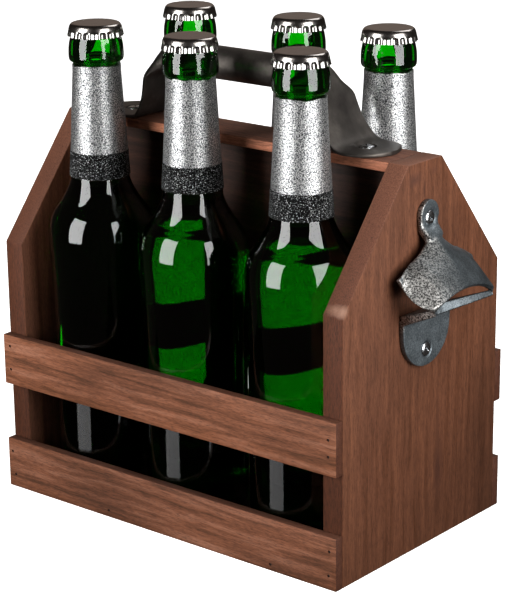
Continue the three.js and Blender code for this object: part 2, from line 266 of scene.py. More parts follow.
def add_node(tree, kind, settings=None, inputs=None, stops=None):
    """Adds a node with its settings, its inputs and the stops of its colour ramp."""
    made = tree.nodes.new("ShaderNode" + kind)
    for key, value in (settings or {}).items():
        setattr(made, key, value)
    feed(made, inputs or {})
    for index, (place, tone) in enumerate(stops or []):
        ramp = made.color_ramp.elements
        stop = ramp[index] if index < len(ramp) else ramp.new(place)
        stop.position, stop.color = place, tone
    return made


def new_finish(name):
    """An empty finish: its node tree and its surface shader."""
    finish = bpy.data.materials.new(name)
    finish.use_nodes = True
    tree = finish.node_tree
    return finish, tree, tree.nodes["Principled BSDF"]


def grey(value):
    """A factor that darkens or lightens the tone it is multiplied with."""
    return (value, value, value, 1)


def flecked(tree, size, stops):
    """Tones that change softly from fleck to fleck, each about the given size."""
    place = add_node(tree, "TexCoord").outputs["Object"]
    flecks = add_node(tree, "TexNoise", {}, {"Vector": place, "Scale": 1 / size})
    return add_node(tree, "ValToRGB", {}, {"Fac": flecks.outputs["Fac"]}, stops).outputs[0]


print("node helpers are ready")

# %% [markdown]
# ## Stained softwood
# The boards are sawn pine, stained red-brown and left matt. The stain sinks deeper into the
# soft wood between the growth lines, which gives long streaks a few millimetres wide, and
# short dark pores run the same way. Noise stretched along the grain draws both. Sloped cuts
# and sawn ends drink the stain another way, so they have tones of their own. Faces that look
# up also get painted shade in their tone, as little light falls on them from above.

# %% Stained softwood
STREAK_WIDTH = 3.2 * MM
STREAK_LENGTH = 70 * MM
PORE_WIDTH = 0.45 * MM  # real fibres are finer: drawn as coarse as they need to show
PORE_LENGTH = 3.5 * MM
BLOTCH = 38 * MM
WANDER_WIDTH = 16 * MM
WANDER_LENGTH = 90 * MM
WANDER = 2.6  # how many streaks wide the growth lines wander
PAINTED_SHADE_FOOT = 0.62  # painted shade: the wood is darker towards its foot and lighter at its top, as the lamps light the top more
PAINTED_LIGHT_TOP = 1.08
PAINTED_FALLOFF_HEIGHT = 200 * MM


def stained_wood(name, grain, tones, slope_and_shade_tone, edge_tone, marks=()):
    """Stained softwood whose grain runs along axis 0 (X) or 2 (Z).

    The tones go from dark to light. A mark is its middle and its reach in millimetres, its
    tone and its strength.
    """
    finish, tree, shader = new_finish(name)
    place = add_node(tree, "TexCoord").outputs["Object"]

    def stretched(across, along):
        scale = [1 / across] * 3
        scale[grain] = 1 / along
        return add_node(tree, "Mapping", {}, {"Vector": place, "Scale": scale}).outputs[0]

    # The growth lines wander a little along the board
    broad = stretched(WANDER_WIDTH, WANDER_LENGTH)
    warp = add_node(tree, "TexNoise", {}, {"Vector": broad, "Scale": 1, "Detail": 2})
    bent = add_node(
        tree,
        "VectorMath",
        {"operation": "MULTIPLY_ADD"},
        {0: warp.outputs["Color"], 1: [WANDER] * 3, 2: stretched(STREAK_WIDTH, STREAK_LENGTH)},
    )
    streaks = add_node(
        tree, "TexNoise", {}, {"Vector": bent.outputs[0], "Scale": 1, "Detail": 5, "Roughness": 0.62}
    )
    # Fine pores, and broad blotches where the stain took more or less
    pores = add_node(
        tree,
        "TexNoise",
        {},
        {"Vector": stretched(PORE_WIDTH, PORE_LENGTH), "Scale": 1, "Detail": 3, "Roughness": 0.7},
    )
    blotches = add_node(
        tree, "TexNoise", {}, {"Vector": stretched(BLOTCH, 2.4 * BLOTCH), "Scale": 1, "Detail": 3}
    )
    ground = add_node(
        tree,
        "ValToRGB",
        {},
        {"Fac": streaks.outputs["Fac"]},
        [(0.34, colour(tones[0])), (0.51, colour(tones[1])), (0.68, colour(tones[2]))],
    )
    depth = add_node(
        tree,
        "ValToRGB",
        {},
        {"Fac": pores.outputs["Fac"]},
        [(0.34, grey(0.45)), (0.47, grey(0.94)), (0.64, grey(1.3))],
    )
    stain = add_node(
        tree,
        "ValToRGB",
        {},
        {"Fac": blotches.outputs["Fac"]},
        [(0.32, grey(0.72)), (0.5, grey(1.0)), (0.7, grey(1.14))],
    )
    wood = add_node(
        tree,
        "MixRGB",
        MULTIPLY,
        {"Fac": 0.75, "Color1": ground.outputs[0], "Color2": depth.outputs[0]},
    )
    wood = add_node(
        tree, "MixRGB", MULTIPLY, {"Fac": 1.0, "Color1": wood.outputs[0], "Color2": stain.outputs[0]}
    )
    # Faces that look up or slope: a tone that is partly their cut's own and partly painted shade
    facing = add_node(tree, "SeparateXYZ", {}, {0: add_node(tree, "NewGeometry").outputs["Normal"]})
    up_facing = add_node(
        tree,
        "MapRange",
        {},
        {"Value": facing.outputs["Z"], "From Min": 0.35, "From Max": 0.6, "To Max": 0.75},
    )
    slope_and_shade = add_node(
        tree,
        "MixRGB",
        MULTIPLY,
        {"Fac": 1.0, "Color1": colour(slope_and_shade_tone), "Color2": depth.outputs[0]},
    )
    wood = add_node(
        tree,
        "MixRGB",
        {},
        {"Fac": up_facing.outputs[0], "Color1": wood.outputs[0], "Color2": slope_and_shade.outputs[0]},
    )
    # Sawn edges of the end panels, and sawn ends of the other boards
    across = add_node(
        tree, "Math", {"operation": "ABSOLUTE"}, {0: facing.outputs["Y" if grain == 2 else "X"]}
    )
    cut = add_node(
        tree,
        "MapRange",
        {},
        {"Value": across.outputs[0], "From Min": 0.6, "From Max": 0.85, "To Max": 0.85},
    )
    edges = add_node(
        tree, "MixRGB", MULTIPLY, {"Fac": 1.0, "Color1": colour(edge_tone), "Color2": depth.outputs[0]}
    )
    wood = add_node(
        tree,
        "MixRGB",
        {},
        {"Fac": cut.outputs[0], "Color1": wood.outputs[0], "Color2": edges.outputs[0]},
    )
    # Knots, knocks and a pale chip, each with a ragged rim
    for centre, reach, tone, strength in marks:
        away = add_node(
            tree,
            "Mapping",
            {},
            {
                "Vector": place,
                "Location": [-c / r for c, r in zip(centre, reach)],
                "Scale": [1 / (r * MM) for r in reach],
            },
        )
        distance = add_node(tree, "VectorMath", {"operation": "LENGTH"}, {0: away.outputs[0]})
        rough = add_node(
            tree,
            "Math",
            {"operation": "MULTIPLY_ADD"},
            {0: streaks.outputs["Fac"], 1: 0.9, 2: distance.outputs["Value"]},
        )
        near = add_node(
            tree,
            "MapRange",
            {},
            {
                "Value": rough.outputs[0],
                "From Min": 0.6,
                "From Max": 1.45,
                "To Min": strength,
                "To Max": 0,
            },
        )
        wood = add_node(
            tree,
            "MixRGB",
            {},
            {"Fac": near.outputs[0], "Color1": wood.outputs[0], "Color2": colour(tone)},
        )
    # Painted shade and light: the wood is darker towards the foot and lighter at the top
    level = add_node(tree, "SeparateXYZ", {}, {0: place})
    painted_falloff = add_node(
        tree,
        "MapRange",
        {},
        {
            "Value": level.outputs["Z"],
            "From Max": PAINTED_FALLOFF_HEIGHT,
            "To Min": PAINTED_SHADE_FOOT,
            "To Max": PAINTED_LIGHT_TOP,
        },
    )
    wood = add_node(
        tree, "VectorMath", {"operation": "SCALE"}, {0: wood.outputs[0], "Scale": painted_falloff.outputs[0]}
    )
    relief = add_node(
        tree, "Bump", {}, {"Height": pores.outputs["Fac"], "Strength": 0.25, "Distance": 0.3 * MM}
    )
    feed(shader, {"Base Color": wood.outputs[0], "Normal": relief.outputs[0]})
    feed(shader, {"Roughness": 0.62, "Specular IOR Level": 0.18})
    return finish


SHIFT = -14.171  # from the carrier's middle to the middle of the whole, along X
PANEL_FACE = 117 + SHIFT  # outer face of the right end panel
PANEL_MARKS = (
    ((PANEL_FACE, 15, 40), (8, 5, 22), "#46291F", 0.75),
    ((PANEL_FACE, 14, 66), (8, 3, 20), "#4A2C20", 0.45),
    ((PANEL_FACE, -1, 194), (8, 1.3, 7), "#3F241A", 0.8),
    ((PANEL_FACE, -9, 201), (9, 7, 4.5), "#4A2D22", 0.8),
    ((PANEL_FACE, 8, 203), (9, 3, 3), "#4F3024", 0.6),
    ((PANEL_FACE, -67, 147), (14, 4, 5), "#A98470", 0.7),
)
# The tone after the three main ones is for faces that look up: partly the cut's own, partly painted
# shade. On the rail's flat top it is painted shade.
slat_wood = stained_wood(
    "stained_pine_slats", 0, ("#573420", "#7E4D35", "#94634C"), "#4A2F25", "#4C2C20"
)
panel_wood = stained_wood(
    "stained_pine_end_panels", 2, ("#56321F", "#643D2A", "#714630"), "#6E4A3B", "#4B2716", PANEL_MARKS
)
rail_wood = stained_wood(
    "stained_pine_rail", 0, ("#794C38", "#A0654C", "#B97B5C"), "#36231C", "#4C2C20"
)
# Painted shade: the base board and the rail's web, which stand in shade between the bottles, get a
# darker copy of the stained wood.
shaded_inner_wood = stained_wood(
    "stained_pine_inner_boards_painted_shade", 0, ("#1E120B", "#2D1A12", "#3B2318"), "#2D1A12", "#2D1A12"
)
print("woods:", slat_wood.name, panel_wood.name, rail_wood.name, shaded_inner_wood.name)

# %% [markdown]
# ## Boards
# Each board is a cube at its solid's own size. The end panels lose their two upper corners
# to a straight cut. Sandpaper takes the sharpness off every edge, so all edges get a
# small bevel.

# %% Boards
EDGE_ROUND = 0.55 * MM
SHOULDER_HEIGHT = 143.3 * MM
PANEL_TOP_HALF = 14.6 * MM


def board(node):
    """A cube that fills the box of a solid."""
    low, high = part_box(node)
    deselect_all()
    bpy.ops.mesh.primitive_cube_add(size=1, location=(low + high) / 2, scale=high - low)
    piece = named("board_" + node)
    settle(piece)
    return piece


def soften_edges(piece, reach=EDGE_ROUND):
    open_mesh(piece, "SELECT")
    bpy.ops.mesh.bevel(offset=reach, segments=2, affect="EDGES", clamp_overlap=True)
    bpy.ops.mesh.normals_make_consistent(inside=False)
    close_mesh()
    smooth(piece, 50)


def cut_gable(piece, node):
    """Cuts the two upper corners off an end panel."""
    low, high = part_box(node)
    for side in (-1, 1):
        shoulder = Vector((0, side * high.y, SHOULDER_HEIGHT))
        top = Vector((0, side * PANEL_TOP_HALF, high.z))
        rise = top - shoulder
        open_mesh(piece, "SELECT")
        bpy.ops.mesh.bisect(
            plane_co=shoulder,
            plane_no=Vector((0, side * rise.z, abs(rise.y))).normalized(),
            use_fill=True,
            clear_outer=True,
        )
        close_mesh()


for node in ("end_panel_left", "end_panel_right"):
    panel = board(node)
    cut_gable(panel, node)
    soften_edges(panel)
    hand_over(panel, panel_wood, "stained_wood", node)

# The base board and the web take the darker wood, which is painted shade.
for node, finish in (
    ("base_board", shaded_inner_wood),
    ("top_rail", rail_wood),
    ("rail_web", shaded_inner_wood),
):
    plank = board(node)
    soften_edges(plank)
    hand_over(plank, finish, "stained_wood", node)

# %% [markdown]
# ## Slats and their nails
# A thin brad holds each slat's end twice, and two more go into the base board. Each is
# punched a little below the surface, so it shows as a small dark hole. The holes are cut
# with thin cylinders, and a brad's head sits at the bottom of each.

# %% Slats and brads
BRAD_HOLE_RADIUS = 0.8
BRAD_HOLE_DEPTH = 1.1
BRAD_RADIUS = 0.76
BRAD_HEAD = 0.5
BRAD_SIDES = 14
UPPER_BRADS = ((-112, 84.2), (-112, 70.6), (112, 80.9), (112, 71.9))
LOWER_BRADS = (
    (-113.6, 21.2),
    (-111.8, 7.6),
    (112.7, 21.1),
    (112.3, 7.9),
    (-39.7, 4.2),
    (74.4, 3.6),
)


def brad_holes(places, face):
    """One cutter for all the holes of a slat."""
    deselect_all()
    cutters = []
    for x, z in places:
        bpy.ops.mesh.primitive_cylinder_add(
            vertices=BRAD_SIDES,
            radius=BRAD_HOLE_RADIUS * MM,
            depth=2 * BRAD_HOLE_DEPTH * MM,
            location=((x + SHIFT) * MM, face, z * MM),
            rotation=(math.pi / 2, 0, 0),
        )
        cutters.append(bpy.context.active_object)
    for cutter in cutters:
        cutter.select_set(True)
    bpy.ops.object.join()
    tool = named("brad_hole_cutter")
    settle(tool)
    return tool


# Brads are plain steel wire, and their heads are drawn dull and near black
brad_steel, tree, shader = new_finish("near_black_brad_steel")
tones = flecked(tree, 0.5 * MM, [(0.3, colour("#120C0A")), (0.7, colour("#2B201B"))])
feed(shader, {"Base Color": tones, "Metallic": 0.5, "Roughness": 0.7})

brad_outline = [(0, 0), (BRAD_RADIUS - 0.1, 0), (BRAD_RADIUS, 0.12)]
brad_outline += [(BRAD_RADIUS, BRAD_HEAD), (0, BRAD_HEAD)]
brad = spun("brad", brad_outline, BRAD_SIDES)
sunk = BRAD_HOLE_DEPTH - BRAD_HEAD
brad_count = 0
for side, word in ((-1, "front"), (1, "back")):
    for row, places in (("upper", UPPER_BRADS), ("lower", LOWER_BRADS)):
        node = f"{word}_slat_{row}"
        slat = board(node)
        low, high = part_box(node)
        face = low.y if side < 0 else high.y
        soften_edges(slat)
        cut_away(slat, brad_holes(places, face))
        smooth(slat, 40)
        hand_over(slat, slat_wood, "stained_wood", node)
        for x, z in places:
            brad_count += 1
            spot = Vector(((x + SHIFT) * MM, face - side * sunk * MM, z * MM))
            turn = Matrix.Rotation(side * math.pi / 2, 4, "X")
            head = copied(brad, f"brad_{brad_count:02d}", Matrix.Translation(spot) @ turn)
            smooth(head)
            hand_over(head, brad_steel, "stained_wood")
bpy.data.objects.remove(brad)
print("brads:", brad_count)

# %% [markdown]
# ## Green bottle glass
# Bottle green glass lets only green through, and the thicker it is the darker it gets. So
# the colour is in the volume and the surface stays clear. It was blown in a mould, which
# leaves it slightly wavy. The drink is a pale amber liquid, which takes more of the light
# over its greater depth. Where it wets the glass, the wall hardly reflects, so an attribute
# of the bottle turns the mirror off there, and the drink has none of its own.

# %% Glass and drink
GLASS_IOR = 1.5
GREEN_TINT = colour("#4EF43D")
GLASS_DENSITY = 1416
GLASS_WAVINESS = 0.02
DRINK_IOR = 1.345
AMBER_TINT = colour("#F6F1A0")
DRINK_DENSITY = 40
DRINK_WAVINESS = 0.003
RIPPLE_SIZE = 14 * MM
MIRROR = colour("#FFFFFF")
NO_MIRROR = colour("#000000")


def clear_body(name, ior, tint, density, waviness):
    """A clear substance with its colour in its depth."""
    finish, tree, shader = new_finish(name)
    depth = add_node(tree, "VolumeAbsorption", {}, {"Color": tint, "Density": density})
    feed(tree.nodes["Material Output"], {"Volume": depth.outputs[0]})
    place = add_node(tree, "TexCoord").outputs["Object"]
    ripple = add_node(tree, "TexNoise", {}, {"Vector": place, "Scale": 1 / RIPPLE_SIZE, "Detail": 1})
    relief = add_node(
        tree, "Bump", {}, {"Height": ripple.outputs["Fac"], "Strength": waviness, "Distance": 0.5 * MM}
    )
    feed(shader, {"Transmission Weight": 1, "IOR": ior, "Roughness": 0, "Normal": relief.outputs[0]})
    return finish


green_glass = clear_body(
    "moulded_green_bottle_glass", GLASS_IOR, GREEN_TINT, GLASS_DENSITY, GLASS_WAVINESS
)
amber_drink = clear_body(
    "pale_amber_drink", DRINK_IOR, AMBER_TINT, DRINK_DENSITY, DRINK_WAVINESS
)
feed(amber_drink.node_tree.nodes["Principled BSDF"], {"Specular Tint": NO_MIRROR})

tree = green_glass.node_tree
wetted = add_node(tree, "Attribute", {"attribute_name": "wetted"})
mirror = add_node(
    tree, "MixRGB", {}, {"Fac": wetted.outputs["Fac"], "Color1": MIRROR, "Color2": NO_MIRROR}
)
feed(tree.nodes["Principled BSDF"], {"Specular Tint": mirror.outputs[0]})
print("clear finishes:", green_glass.name, amber_drink.name)

# %% [markdown]
# ## Foil, label and tinplate
# The neck foil is embossed aluminium: fine grains catch the light or stay dark. The band
# under it is black printed paper with silver specks. The crown caps are polished tinplate
# with small rubbed patches, and their tops and shoulders are drawn a little darker, which is
# painted shade.

# %% Foil, label and tinplate
GRAIN = 0.55 * MM  # grain of the embossing, as fine as the picture can show


def speckled(name, stops, metallic, roughness, gloss, bump):
    """Fine raised grains in several tones."""
    finish, tree, shader = new_finish(name)
    place = add_node(tree, "TexCoord").outputs["Object"]
    grain = add_node(
        tree, "TexNoise", {}, {"Vector": place, "Scale": 1 / GRAIN, "Detail": 2, "Roughness": 0.6}
    )
    tones = add_node(tree, "ValToRGB", {}, {"Fac": grain.outputs["Fac"]}, stops)
    relief = add_node(
        tree, "Bump", {}, {"Height": grain.outputs["Fac"], "Strength": bump, "Distance": 0.2 * MM}
    )
    feed(shader, {"Base Color": tones.outputs[0], "Normal": relief.outputs[0]})
    feed(shader, {"Metallic": metallic, "Roughness": roughness, "Specular IOR Level": gloss})
    return finish


silver_foil = speckled(
    "embossed_aluminium_foil",
    [(0.38, colour("#1A1B1C")), (0.5, colour("#848688")), (0.62, colour("#E0E0DE"))],
    metallic=0.85,
    roughness=0.44,
    gloss=0.5,
    bump=0.5,
)
black_paper = speckled(
    "black_speckled_label_paper",
    [(0.55, colour("#020202")), (0.61, colour("#2A2B2C")), (0.69, colour("#D8DADC"))],
    metallic=0.0,
    roughness=0.5,
    gloss=0.05,
    bump=0.1,
)
SKIRT_TOP = 263.2 * MM
TOP_SHADE_FADE = 0.8 * MM
RUBBED_PATCH = 3 * MM
tinplate, tree, shader = new_finish("polished_crown_tinplate")
place = add_node(tree, "TexCoord").outputs["Object"]
rub = add_node(tree, "TexNoise", {}, {"Vector": place, "Scale": 1 / RUBBED_PATCH, "Detail": 4})
gloss = add_node(tree, "MapRange", {}, {"Value": rub.outputs["Fac"], "To Min": 0.16, "To Max": 0.28})
height = add_node(tree, "SeparateXYZ", {}, {0: place})
# Painted shade: above the skirt, the top and shoulder are drawn darker.
painted_top_shade = add_node(
    tree,
    "MapRange",
    {},
    {
        "Value": height.outputs["Z"],
        "From Min": SKIRT_TOP - TOP_SHADE_FADE,
        "From Max": SKIRT_TOP + TOP_SHADE_FADE,
    },
)
tones = add_node(
    tree,
    "ValToRGB",
    {},
    {"Fac": painted_top_shade.outputs[0]},
    [(0.0, colour("#9E9B98")), (1.0, colour("#8F8985"))],
)
feed(shader, {"Base Color": tones.outputs[0], "Metallic": 1, "Roughness": gloss.outputs[0]})
print("finishes:", silver_foil.name, black_paper.name, tinplate.name)

# %% [markdown]
# ## Bottle
# A long-neck bottle is drawn as half a section, outside and inside in one closed line, so
# that the glass has its real thickness. Heights are above the bottle's foot.

# %% Bottle outlines
FOOT_HEIGHT = 8  # top of the base board
BOTTLE_SIDES = 96
BODY_POINTS = [
    (27.2, 4.6), (27.6, 8.5), (27.75, 40), (27.95, 96), (28.7, 124), (29.45, 139),
    (29.3, 145.2), (28.3, 150.0), (26.5, 154.4), (24.1, 158.0), (21.65, 161.4),
    (18.5, 167.0), (16.75, 171.2), (15.95, 175.0), (15.6, 180), (14.5, 200), (12.7, 232),
]
FINISH_POINTS = [
    (12.55, 236.3), (12.9, 237.1), (14.2, 237.8), (14.75, 239.3), (14.8, 242.0),
    (14.6, 245.4), (14.0, 248.8), (13.3, 251.4), (12.9, 254.6),
]
FOOT_POINTS = [(0, 3.4), (12, 2.6), (20, 0.5), (23.4, 0), (26, 1.5)]
MOUTH_POINTS = [(12.3, 256), (11, 256.6), (9.7, 256.1), (9.2, 254.5)]
BORE_POINTS = [
    (9.2, 236), (11.0, 210), (13.0, 175.4), (15.4, 167.4), (19.0, 161.3), (22.9, 154.4),
    (25.3, 149.2), (26.4, 144), (26.5, 138), (25.05, 96), (24.7, 12),
]
FLOOR_POINTS = [(21.5, 7.2), (12, 6.4), (0, 7.2)]
FILL_HEIGHT = 200
FILL_RADIUS = 11.6
FILL_RIM = 1  # the drink is level up to this distance from the glass,
FILL_CLIMB = 0.4  # and then climbs it by this much
OVERLAP = 0.25  # how far the drink reaches into the glass, so that no air lies between

glass_outline = (
    curved(FOOT_POINTS, 4)
    + curved(BODY_POINTS, 6)
    + curved(FINISH_POINTS, 4)
    + curved(MOUTH_POINTS, 4)
    + curved(BORE_POINTS, 5)
    + curved(FLOOR_POINTS, 4)
)
wet = [(r, h) for r, h in reversed(curved(BORE_POINTS, 5)) if h < FILL_HEIGHT]
drink_outline = (
    [(r, h - OVERLAP) for r, h in reversed(curved(FLOOR_POINTS, 4))]
    + [(r + OVERLAP, h) for r, h in wet]
    + [
        (FILL_RADIUS + OVERLAP, FILL_HEIGHT),
        (FILL_RADIUS - FILL_RIM, FILL_HEIGHT - FILL_CLIMB),
        (0, FILL_HEIGHT - FILL_CLIMB),
    ]
)
glass = spun("bottle_glass", glass_outline, BOTTLE_SIDES)
drink = spun("bottle_drink", drink_outline, BOTTLE_SIDES)
smooth(glass, 60)
smooth(drink, 60)

# An attribute marks the wall that the drink wets, for the finish
WET_FLOOR = 6
wetted = glass.data.attributes.new("wetted", "FLOAT", "POINT")
for vertex, mark in zip(glass.data.vertices, wetted.data):
    spot = vertex.co / MM
    inner = [r for r, h in wet if h >= spot.z] or [0]
    near_drink = spot.xy.length < inner[0] + 1
    mark.value = float(WET_FLOOR < spot.z < FILL_HEIGHT and near_drink)
print("glass outline points:", len(glass_outline), "drink:", len(drink_outline))

# %% [markdown]
# ## Neck foil and band
# Both are thin sleeves round the tapering neck. The foil is torn off by machine, so its
# upper edge waves up and down a little, and it is pressed on with slight folds.

# %% Foil and band
SLEEVE_GAP = 0.1
FOIL_THICK = 0.28
BAND_THICK = 0.55
FOIL_WAVE = 1.0
WAVED_EDGE = 8 * MM
FOIL_FOLD = 0.16
FOLD_LENGTH = 20 * MM
NECK_START = 160


def neck_radius(height):
    """Outer radius of the neck at a height above the bottle's foot."""
    line = [point for point in curved(BODY_POINTS, 6) if point[1] >= NECK_START]
    for (r0, h0), (r1, h1) in zip(line, line[1:]):
        if h0 <= height <= h1:
            return r0 + (r1 - r0) * (height - h0) / (h1 - h0)
    return line[-1][0]


def sleeve(node, thick, rows):
    """A sleeve on the neck, between the heights of its solid."""
    low, high = (corner.z / MM - FOOT_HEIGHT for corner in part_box(node))
    heights = [low + (high - low) * i / rows for i in range(rows + 1)]
    inner = [(neck_radius(h) + SLEEVE_GAP, h) for h in heights]
    outer = [(r + thick, h) for r, h in inner]
    return spun(node, outer + inner[::-1] + outer[:1], BOTTLE_SIDES)


def wrinkle(foil, number):
    """Waves the upper edge and presses folds in, differently on each bottle."""
    high = max(vertex.co.z for vertex in foil.data.vertices)
    for vertex in foil.data.vertices:
        around = Vector((vertex.co.x, vertex.co.y, 0)).normalized()
        place = around + Vector((0, 0, 3.7 * number))  # another slice of noise for each bottle
        wave = noise.noise(place * 2.3) + 0.6 * noise.noise(place * 5.1)
        fold = noise.noise(around * 5 + Vector((0, 0, vertex.co.z / FOLD_LENGTH + number)))
        vertex.co += around * FOIL_FOLD * max(fold, 0) * MM
        edge = eased(vertex.co.z, high - WAVED_EDGE, high)
        vertex.co.z += FOIL_WAVE * min(wave, 0.3) * edge * MM
    smooth(foil, 50)


sleeves = {}
for number in range(1, 7):
    foil = sleeve(f"bottle_{number}_neck_foil", FOIL_THICK, 24)
    wrinkle(foil, number)
    band = sleeve(f"bottle_{number}_neck_band", BAND_THICK, 8)
    smooth(band, 50)
    sleeves[number] = (
        (foil, "neck_foil", silver_foil, "silver_foil"),
        (band, "neck_band", black_paper, "black_label"),
    )
print("sleeves:", 2 * len(sleeves))

# %% [markdown]
# ## Crown cap
# A crown is a disc of tinplate whose rim is crimped into 21 flutes. Half a section is spun
# with eight sides to a flute. Then the rim's vertices are drawn in between the flutes, more
# and more towards the edge, and the sheet gets its thickness. At last the cap is lifted to
# its place on the bottle.

# %% Crown cap
FLUTES = 21
CAP_BASE = 250.8  # height of the rim above the bottle's foot
CAP_POINTS = [
    (0, 7.0), (8, 7.0), (11.6, 6.97), (12.7, 6.78), (13.4, 6.25), (13.85, 5.55),
    (14.15, 4.8), (14.35, 4.0), (14.5, 3.3), (14.75, 2.3), (15.0, 1.2), (15.25, 0.15),
]
FLUTE_TOP = 3.9
FLUTE_BEND = 1.6  # the sheet turns in over this height at the top of a flute
FLUTE_DEPTH = 0.95
CAP_SHEET = 0.3 * MM

cap = spun("crown_cap", curved(CAP_POINTS, 3), 8 * FLUTES)
for vertex in cap.data.vertices:
    turn = math.atan2(vertex.co.y, vertex.co.x)
    below = eased(FLUTE_TOP - vertex.co.z / MM, 0, FLUTE_BEND)
    between = 0.5 - 0.5 * math.cos(turn * FLUTES)
    out = Vector((vertex.co.x, vertex.co.y, 0)).normalized()
    vertex.co -= out * FLUTE_DEPTH * below * between * MM
modified(cap, "SOLIDIFY", thickness=CAP_SHEET, offset=-1)
open_mesh(cap, "SELECT")
bpy.ops.mesh.normals_make_consistent(inside=False)
close_mesh()
smooth(cap, 60)
cap.data.transform(Matrix.Translation((0, 0, CAP_BASE * MM)))
print("cap faces:", len(cap.data.polygons))

# %% [markdown]
# ## Six bottles
# The bottle's pieces are modelled once and copied to each solid's place. Each bottle is
# turned by another angle, so that no two catch the light in the same way.

# %% Six bottles
TURN_STEP = 1.1  # in radians
SHARED = (
    (glass, "glass", green_glass, "green_glass"),
    (drink, "drink", amber_drink, "drink"),
    (cap, "cap", tinplate, "tinplate"),
)
for number in range(1, 7):
    low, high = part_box(f"bottle_{number}_glass")
    middle = (low + high) / 2
    base = Matrix.Translation((middle.x, middle.y, FOOT_HEIGHT * MM))
    turn = Matrix.Rotation(number * TURN_STEP, 4, "Z")
    for piece, word, finish, slot in SHARED + sleeves[number]:
        twin = copied(piece, f"bottle{number}_{word}", base @ turn)
        hand_over(twin, finish, slot, f"bottle_{number}_{word}")
for model in SHARED + sum(sleeves.values(), ()):
    bpy.data.objects.remove(model[0])

# %% [markdown]
# ## Handle
# The handle is a steel tube with both ends hammered flat, bent down and screwed to the
# rail. A ring of vertices is extruded from station to station along its middle line, and
# each ring is set to the section there: round in the grip, a thin flat bar in the legs.

# %% Handle
GRIP_RADIUS = 9
GRIP_HEIGHT = 243.9
LEG_HALF_WIDTH = 17
FOOT_HALF_WIDTH = 19
FOOT_LEVEL = 210.6
FOOT_END = 97.7
FOOT_ROUND = 17
SHEET_HALF = 1.1
GRIP_BEND = [(0, 0), (25, 0), (44, 0), (48.5, 0.4), (52.4, 2.2), (55.2, 5.4)]  # out, down
LEG_POINTS = [(57, 234.9), (57.9, 229), (58.8, 223), (60.6, 217.6), (63.2, 213), (66.2, 211.2)]
FOOT_STOPS = (79, 86, FOOT_END)
RIGHT_LEAN = 9  # the right leg slants out further than the left one
LEFT_LEAN = 0.5
LEAN_TOP = 239.9
PRESSED_OVER = 11  # the tube is pressed flat over this height below the grip
FLARE = (60, 76)  # and the bar widens to the foot between these distances
SQUARED = 0.66  # how square the flat bar's corners are, from 0 for an ellipse
TIP = 0.992  # the round end of the foot stops just short of a point
HANDLE_SIDES = 40
HANDLE_STATIONS = 64
SEAT_RADIUS = 4.9
SEAT_FLARE = 1.6
SEAT_DEPTH = 2
SEAT_GAP = 0.05  # the seat is cut this far under the screw's head


def half_line(lean):
    """Middle line of half the handle, from the grip out to the foot's end."""
    slant = lean / (LEAN_TOP - FOOT_LEVEL)
    stops = [(out, GRIP_HEIGHT - down) for out, down in GRIP_BEND]
    stops += [(x + slant * (LEAN_TOP - z), z) for x, z in LEG_POINTS]
    stops += [(x, FOOT_LEVEL) for x in FOOT_STOPS]
    fine = curved(stops, 12)
    lengths = [0]
    for (x0, z0), (x1, z1) in zip(fine, fine[1:]):
        lengths.append(lengths[-1] + math.hypot(x1 - x0, z1 - z0))
    line, here = [], 0
    for step in range(HANDLE_STATIONS + 1):
        wanted = lengths[-1] * step / HANDLE_STATIONS
        while here < len(fine) - 2 and lengths[here + 1] < wanted:
            here += 1
        part = (wanted - lengths[here]) / (lengths[here + 1] - lengths[here])
        (x0, z0), (x1, z1) = fine[here], fine[here + 1]
        along = Vector((x1 - x0, 0, z1 - z0)).normalized()
        spot = Vector((x0 + (x1 - x0) * part, 0, max(z0 + (z1 - z0) * part, FOOT_LEVEL)))
        line.append((spot, along))
    return line


def section(spot):
    """Half width, half thickness and the power that squares the corners there."""
    pressed = eased(GRIP_HEIGHT - spot.z, 0, PRESSED_OVER)
    flared = eased(spot.x, *FLARE)
    to_end = clamp((spot.x - (FOOT_END - FOOT_ROUND)) / FOOT_ROUND, 0, TIP)
    legs = GRIP_RADIUS + (LEG_HALF_WIDTH - GRIP_RADIUS) * pressed
    width = (legs + (FOOT_HALF_WIDTH - legs) * flared) * math.sqrt(1 - to_end**2)
    thick = GRIP_RADIUS + (SHEET_HALF - GRIP_RADIUS) * math.sqrt(pressed)
    return width, thick, 1 - SQUARED * pressed


def handle_rings():
    """Place, outward direction and section of each ring, from the right foot to the left."""
    right = half_line(RIGHT_LEAN)
    left = half_line(LEFT_LEAN)[1:]
    rings = []
    for spot, along in reversed(right):
        rings.append((spot, Vector((-along.z, 0, along.x)), section(spot)))
    for spot, along in left:
        mirrored = Vector((-spot.x, 0, spot.z))
        rings.append((mirrored, Vector((along.z, 0, along.x)), section(spot)))
    return rings


def ring_point(ring, index):
    """One point of a ring, on a section between an ellipse and a rectangle."""
    spot, outward, (width, thick, power) = ring
    angle = math.tau * index / HANDLE_SIDES
    side, lift = math.cos(angle), math.sin(angle)
    side = math.copysign(abs(side) ** power, side) * width
    lift = math.copysign(abs(lift) ** power, lift) * thick
    return (spot + Vector((SHIFT, side, 0)) + outward * lift) * MM


deselect_all()
bpy.ops.mesh.primitive_circle_add(vertices=HANDLE_SIDES, radius=MM, fill_type="NGON")
handle = named("pressed_steel_handle")
open_mesh(handle, "SELECT")
rings = handle_rings()
